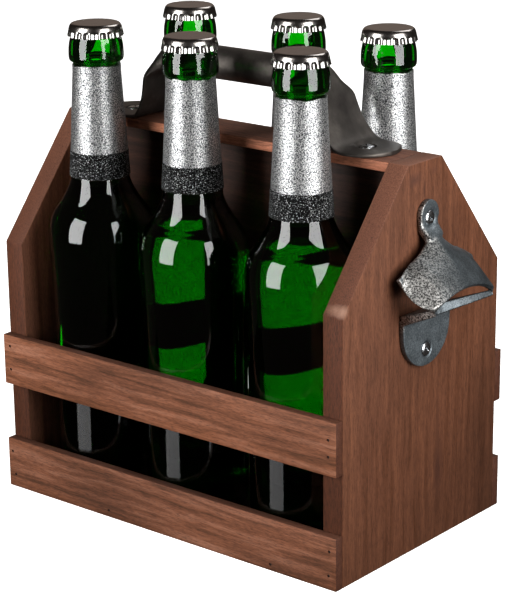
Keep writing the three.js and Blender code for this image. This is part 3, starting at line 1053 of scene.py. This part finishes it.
# An extruded ring's vertices come in the circle's own order, which is found once by angle
for number, ring in enumerate(rings):
    if number:
        bpy.ops.mesh.extrude_region_move(TRANSFORM_OT_translate={"value": (0, 0, MM)})
    shape = bmesh.from_edit_mesh(handle.data)
    fresh = sorted((v for v in shape.verts if v.select), key=lambda v: v.index)
    if not number:
        order = sorted(fresh, key=lambda v: math.atan2(v.co.y, v.co.x) % math.tau)
        spots = {v.index: i for i, v in enumerate(order)}
        slots = [spots[v.index] for v in fresh]
    for vertex, slot_index in zip(fresh, slots):
        vertex.co = ring_point(ring, slot_index)
    bmesh.update_edit_mesh(handle.data)
bpy.ops.mesh.select_all(action="SELECT")
bpy.ops.mesh.normals_make_consistent(inside=False)
close_mesh()

for word in ("left", "right"):
    low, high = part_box("handle_screw_" + word)
    middle = (low + high) / 2
    deselect_all()
    bpy.ops.mesh.primitive_cone_add(
        vertices=40,
        radius1=SEAT_RADIUS * MM,
        radius2=(SEAT_RADIUS + SEAT_FLARE) * MM,
        depth=SEAT_DEPTH * MM,
        location=(middle.x, middle.y, low.z + (SEAT_DEPTH / 2 - SEAT_GAP) * MM),
    )
    seat = named("seat_cutter")
    settle(seat)
    cut_away(handle, seat)
smooth(handle, 40)
print("handle rings:", len(rings))

# %% [markdown]
# The steel is browned: a thin dark oxide over a smooth rolled surface, a little uneven in
# tone and gloss where it was bent.

# %% Browned steel
CLOUD_SIZE = 16 * MM
dark_steel, tree, shader = new_finish("browned_rolled_steel")
place = add_node(tree, "TexCoord").outputs["Object"]
clouds = add_node(
    tree, "TexNoise", {}, {"Vector": place, "Scale": 1 / CLOUD_SIZE, "Detail": 5, "Roughness": 0.6}
)
tones = add_node(
    tree,
    "ValToRGB",
    {},
    {"Fac": clouds.outputs["Fac"]},
    [(0.3, colour("#383431")), (0.55, colour("#504B47")), (0.75, colour("#6C6660"))],
)
gloss = add_node(
    tree, "MapRange", {}, {"Value": clouds.outputs["Fac"], "To Min": 0.38, "To Max": 0.56}
)
dents = add_node(
    tree, "Bump", {}, {"Height": clouds.outputs["Fac"], "Strength": 0.2, "Distance": 1.2 * MM}
)
feed(shader, {"Base Color": tones.outputs[0], "Metallic": 0.85})
feed(shader, {"Roughness": gloss.outputs[0], "Normal": dents.outputs[0]})
hand_over(handle, dark_steel, "gunmetal_steel", "handle")

# %% [markdown]
# ## Opener
# The opener is one piece of cast iron, so all its parts flow into each other. The solid's
# own mesh is copied and merged, then wrapped in a fine even skin and relaxed, which rounds
# every edge and corner as a casting's are. The neck between the upper tab and the hood is
# relaxed further, so that one grows out of the other.

# %% Opener
SKIN_MESH = 0.42 * MM
NECK_LOW, NECK_HIGH = 162 * MM, 180 * MM
solid = frame["nodes"]["opener"]
opener = solid.copy()
opener.data = solid.data.copy()
opener.name = opener.data.name = "cast_iron_opener"
# The copy is a new piece, so the marks of a plain solid come off
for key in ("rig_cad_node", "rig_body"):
    if key in opener:
        del opener[key]
bpy.context.collection.objects.link(opener)
opener.parent = None
open_mesh(opener, "SELECT")
bpy.ops.mesh.remove_doubles(threshold=0.005 * MM)
close_mesh()
modified(opener, "REMESH", mode="VOXEL", voxel_size=SKIN_MESH)
modified(opener, "SMOOTH", factor=0.5, iterations=6)
open_mesh(opener)
choose(opener, "verts", lambda vertex: NECK_LOW < vertex.co.z < NECK_HIGH)
bpy.ops.mesh.vertices_smooth(factor=0.5, repeat=40)
close_mesh()
smooth(opener, 60)
print("opener faces:", len(opener.data.polygons))

# %% [markdown]
# Cast iron keeps the sand mould's grain. The front of the hood has small dark pits between
# bright spots, partly worn and partly painted light on the side that faces the front lamp.
# The rest is an even grey skin with painted light near the panel, where the hollow sides
# face the light, and painted shade out at the jaw.

# %% Cast iron
PIT = 0.9 * MM
WORN_PATCH = 9 * MM
PITTED_FROM = (("Y", 1, -2.5), ("Z", 124, 127))  # the pits fade in over these places
LIGHT_END, DARK_END = 4, 12  # distances from the panel's face, over which painted light turns to painted shade
LIGHT_SKIN, DARK_SKIN = 1.45, 0.72
cast_iron, tree, shader = new_finish("sand_cast_iron")
place = add_node(tree, "TexCoord").outputs["Object"]
pits = add_node(
    tree, "TexNoise", {}, {"Vector": place, "Scale": 1 / PIT, "Detail": 4, "Roughness": 0.65}
)
patches = add_node(tree, "TexNoise", {}, {"Vector": place, "Scale": 1 / WORN_PATCH, "Detail": 3})
pitted = add_node(
    tree,
    "ValToRGB",
    {},
    {"Fac": pits.outputs["Fac"]},
    [(0.4, colour("#0C0D0E")), (0.47, colour("#6B6A68")), (0.6, colour("#B9B7B3"))],
)
even = add_node(
    tree,
    "ValToRGB",
    {},
    {"Fac": pits.outputs["Fac"]},
    [(0.3, colour("#3C4144")), (0.5, colour("#5C6367")), (0.7, colour("#737A7E"))],
)
normal = add_node(tree, "NewGeometry").outputs["Normal"]
facing = add_node(tree, "SeparateXYZ", {}, {0: normal})
spot = add_node(tree, "SeparateXYZ", {}, {0: place})
# Faces that look to the front take the pitted tones: real pits, and bright spots that are partly wear
# and partly painted light on the hood's lit side.
front = add_node(
    tree, "MapRange", {}, {"Value": facing.outputs["Y"], "From Min": 0.0, "From Max": -0.5}
)
for axis, start, end in PITTED_FROM:
    front = add_node(
        tree,
        "MapRange",
        {},
        {
            "Value": spot.outputs[axis],
            "From Min": start * MM,
            "From Max": end * MM,
            "To Max": front.outputs[0],
        },
    )
# Painted light near the panel and painted shade out at the jaw, by the distance from the panel's face.
painted_light_and_shade = add_node(
    tree,
    "MapRange",
    {},
    {
        "Value": spot.outputs["X"],
        "From Min": (PANEL_FACE + LIGHT_END) * MM,
        "From Max": (PANEL_FACE + DARK_END) * MM,
        "To Min": LIGHT_SKIN,
        "To Max": DARK_SKIN,
    },
)
even = add_node(
    tree, "VectorMath", {"operation": "SCALE"}, {0: even.outputs[0], "Scale": painted_light_and_shade.outputs[0]}
)
skin = add_node(
    tree,
    "MixRGB",
    {},
    {"Fac": front.outputs[0], "Color1": even.outputs[0], "Color2": pitted.outputs[0]},
)
worn = add_node(
    tree, "ValToRGB", {}, {"Fac": patches.outputs["Fac"]}, [(0.35, grey(0.75)), (0.65, grey(1.15))]
)
mottled = add_node(
    tree, "MixRGB", MULTIPLY, {"Fac": 1.0, "Color1": skin.outputs[0], "Color2": worn.outputs[0]}
)
relief = add_node(
    tree, "Bump", {}, {"Height": pits.outputs["Fac"], "Strength": 0.35, "Distance": 0.3 * MM}
)
feed(shader, {"Base Color": mottled.outputs[0], "Normal": relief.outputs[0]})
feed(shader, {"Metallic": 0.8, "Roughness": 0.46})
hand_over(opener, cast_iron, "cast_iron", "opener")

# %% [markdown]
# ## Screws
# The four screws have low domed heads with a cross recess, bright zinc plated. One head is
# spun, its cross is cut with two tapered bars, and it is copied to each place.

# %% Screws
SCREW_RADIUS = 4
SCREW_DOME = 1.7
DOME_POINTS = [(SCREW_RADIUS, 0.55), (3.6, 1.05), (2.6, 1.48), (1.3, 1.66), (0, SCREW_DOME)]
RECESS_ARM = 2.5
RECESS_HALF = 0.5
RECESS_DEEP = 1
RECESS_TAPER = (0.35, 0.5, 1)  # the recess narrows to these parts of its size at its floor
screw = spun(
    "screw_head",
    [(0, 0), (SCREW_RADIUS - 0.1, 0), (SCREW_RADIUS, 0.15)] + curved(DOME_POINTS, 4),
    48,
)
for quarter in (0, 1):
    deselect_all()
    bpy.ops.mesh.primitive_cube_add(
        size=1,
        location=(0, 0, SCREW_DOME * MM),
        scale=(2 * RECESS_ARM * MM, 2 * RECESS_HALF * MM, 2 * RECESS_DEEP * MM),
    )
    bar = named("recess_cutter")
    settle(bar)
    open_mesh(bar)
    choose(bar, "faces", lambda face: face.normal.z < -0.9)
    bpy.ops.transform.resize(value=RECESS_TAPER, center_override=(0, 0, 0))
    close_mesh()
    bar.data.transform(Matrix.Rotation(math.pi / 4 + quarter * math.pi / 2, 4, "Z"))
    cut_away(screw, bar)
smooth(screw, 40)

zinc, tree, shader = new_finish("bright_zinc_plate")
tones = flecked(tree, 1.2 * MM, [(0.35, colour("#8E9194")), (0.6, colour("#D2D4D6"))])
feed(shader, {"Base Color": tones, "Metallic": 1, "Roughness": 0.25})

face_right = Matrix.Rotation(math.pi / 2, 4, "Y")
for node in ("handle_screw_left", "handle_screw_right", "opener_screw_top", "opener_screw_bottom"):
    low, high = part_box(node)
    middle = (low + high) / 2
    if node.startswith("handle"):
        place = Matrix.Translation((middle.x, middle.y, low.z))
    else:
        place = Matrix.Translation((low.x, middle.y, middle.z)) @ face_right
    hand_over(copied(screw, "zinc_" + node, place), zinc, "zinc_screw", node)
bpy.data.objects.remove(screw)

# %% [markdown]
# ## Floor, light and camera
# The white card, the lamps and the camera all find their places by going round the carrier
# by an azimuth and up by an elevation, so one function gives that way.

# %% Ways round the carrier
CAMERA_AZIMUTH = 39.77


def way(azimuth, elevation):
    """Points from the carrier outwards. Azimuth 0 is its front and 90 its right end."""
    a, e = math.radians(azimuth), math.radians(elevation)
    return Vector((math.sin(a) * math.cos(e), -math.cos(a) * math.cos(e), math.sin(e)))


print("the camera's way, on the level:", [round(v, 2) for v in way(CAMERA_AZIMUTH, 0)])

# %% [markdown]
# The floor is a large sheet of white paper. Only the camera sees it, so that it neither
# lights the carrier nor shows in the glass.

# %% Floor
FLOOR_HALF = 8.0
deselect_all()
bpy.ops.mesh.primitive_plane_add(size=2 * FLOOR_HALF)
floor = named("studio_floor")
paper, tree, shader = new_finish("matt_white_paper")
tones = flecked(tree, 4 * MM, [(0.3, colour("#F1F1F0")), (0.7, colour("#F6F6F5"))])
feed(shader, {"Base Color": tones, "Roughness": 0.9, "Specular IOR Level": 0.1})
feed(shader, {"Emission Color": colour("#FFFFFF"), "Emission Strength": 1})
floor.data.materials.append(paper)
floor.visible_glossy = False
floor.visible_diffuse = False
floor.visible_transmission = False
print("floor:", 2 * FLOOR_HALF, "m square")

# %% [markdown]
# Between the two slats, the real bottles show the front soft box once more, as a grey patch
# that came by way of the table. So a polished strip of table lies in front of the carrier,
# and only mirrors see it.

# %% Polished table
TABLE_MIDDLE = (-0.03, -0.165, 0.1 * MM)
TABLE_LONG, TABLE_DEEP = 0.5, 0.19
deselect_all()
bpy.ops.mesh.primitive_plane_add(size=1)
table = named("polished_table")
table.data.transform(
    Matrix.Translation(TABLE_MIDDLE) @ Matrix.Diagonal((TABLE_LONG, TABLE_DEEP, 1, 1))
)
lacquer, tree, shader = new_finish("polished_table_lacquer")
tones = flecked(tree, 60 * MM, [(0.3, colour("#3C3C3C")), (0.7, colour("#454545"))])
feed(shader, {"Base Color": tones, "Metallic": 1, "Roughness": 0.1})
table.data.materials.append(lacquer)
table.visible_camera = table.visible_diffuse = False
table.visible_transmission = table.visible_shadow = False
print("table:", TABLE_LONG, "by", TABLE_DEEP, "m")

# %% [markdown]
# Glass is lit from behind: a white card lies behind the carrier and is seen only through
# the bottles. It is narrow, so the bottles' sides look past it and stay nearly black. The
# card is a plane whose four corners are moved: it widens away from the camera.

# %% White card
CARD_LIGHT = 2.7
CARD_NEAR = 0.13  # each edge lies this far behind the carrier's middle,
CARD_NEAR_SIDES = (-0.045, 0.03)  # and ends this far to either side of the camera's view
CARD_FAR = 2.0
CARD_FAR_SIDES = (-0.6, 0.55)
heading = -way(CAMERA_AZIMUTH, 0)
sideways = Vector((heading.y, -heading.x, 0))
deselect_all()
bpy.ops.mesh.primitive_plane_add(size=1)
card = named("white_card")
for vertex in card.data.vertices:
    far = vertex.co.y > 0
    depth, sides = (CARD_FAR, CARD_FAR_SIDES) if far else (CARD_NEAR, CARD_NEAR_SIDES)
    side = sides[vertex.co.x > 0]
    reach = (depth - sideways.y * side) / heading.y
    vertex.co = heading * reach + sideways * side
    vertex.co.z = 0.2 * MM
white, tree, shader = new_finish("glowing_white_card")
tones = flecked(tree, 40 * MM, [(0.3, colour("#FCFCFC")), (0.7, colour("#FFFFFF"))])
feed(shader, {"Emission Color": tones, "Emission Strength": CARD_LIGHT})
feed(shader, {"Base Color": colour("#000000"), "Specular IOR Level": 0})
card.data.materials.append(white)
card.visible_camera = card.visible_glossy = False
card.visible_diffuse = card.visible_shadow = False
print("card:", CARD_FAR - CARD_NEAR, "m long")

# %% [markdown]
# One soft box stands in front and one on the right. Both stand low, so that they show in
# the shoulders of the glass and leave the rail's top dark. A weak one hangs high behind,
# and a faint warm board at the back on the left keeps the shaded sides from going black.

# %% Lights
AIM = Vector((-0.01, 0, 0.12))
WORLD_LIGHT = 0.1


def soft_box(name, azimuth, elevation, distance, width, height, power, tint="#FFFFFF"):
    """An oblong lamp that looks at the carrier. Angles are in degrees, sizes in metres."""
    lamp = bpy.data.lights.new(name, "AREA")
    lamp.shape = "RECTANGLE"
    lamp.size, lamp.size_y = width, height
    lamp.energy = power
    lamp.color = colour(tint)[:3]
    stand = bpy.data.objects.new(name, lamp)
    bpy.context.scene.collection.objects.link(stand)
    stand.location = AIM + way(azimuth, elevation) * distance
    stand.rotation_euler = (AIM - stand.location).to_track_quat("-Z", "Y").to_euler()
    print(name, "at", [round(v, 2) for v in stand.location])


# Name, azimuth, elevation, distance, width, height, power in watts and tint
soft_box("front_soft_box", -17, 14.5, 1.35, 0.76, 1.28, 32)
soft_box("right_soft_box", 84, 14.5, 1.35, 0.88, 1.28, 33)
soft_box("back_soft_box", 175, 50, 1.6, 0.8, 0.8, 8)
soft_box("grey_back_board", -140, 22, 1.5, 1.3, 0.8, 0.7, "#FFE6D6")
scene = bpy.context.scene
world = bpy.data.worlds.new("dim_studio")
scene.world = world
world.use_nodes = True
feed(world.node_tree.nodes["Background"], {"Color": colour("#8C7F76"), "Strength": WORLD_LIGHT})

# %% [markdown]
# The camera looks down a little on the corner with the opener, from about 1.2 m. A long
# lens keeps the lines calm. Its place was worked out from the corners of the boards.

# %% Camera
CAMERA_TARGET = Vector((-10.93, -0.02, 116.01)) * MM
CAMERA_ELEVATION = 17.14
CAMERA_ROLL = -0.66
CAMERA_DISTANCE = 1157.42 * MM
LENS = 128.03
SENSOR_WIDTH = 36
BOUNCES = 24  # light goes through many walls of glass on its way

roll = math.radians(CAMERA_ROLL)
back = way(CAMERA_AZIMUTH, CAMERA_ELEVATION)
level = (-back).cross(Vector((0, 0, 1))).normalized()
upright = level.cross(-back)
right = level * math.cos(roll) + upright * math.sin(roll)
up = upright * math.cos(roll) - level * math.sin(roll)
eye = CAMERA_TARGET + back * CAMERA_DISTANCE
camera_data = bpy.data.cameras.new("camera")
camera_data.lens = LENS
camera_data.sensor_width = SENSOR_WIDTH
camera_data.clip_start, camera_data.clip_end = 0.05, 50
camera = bpy.data.objects.new("camera", camera_data)
scene.collection.objects.link(camera)
rows = [[right[i], up[i], back[i], eye[i]] for i in range(3)]
camera.matrix_world = Matrix(rows + [[0, 0, 0, 1]])
scene.camera = camera
scene.view_settings.view_transform = "Standard"
scene.cycles.max_bounces = BOUNCES
scene.cycles.transmission_bounces = BOUNCES
print("camera at", [round(v, 3) for v in eye])
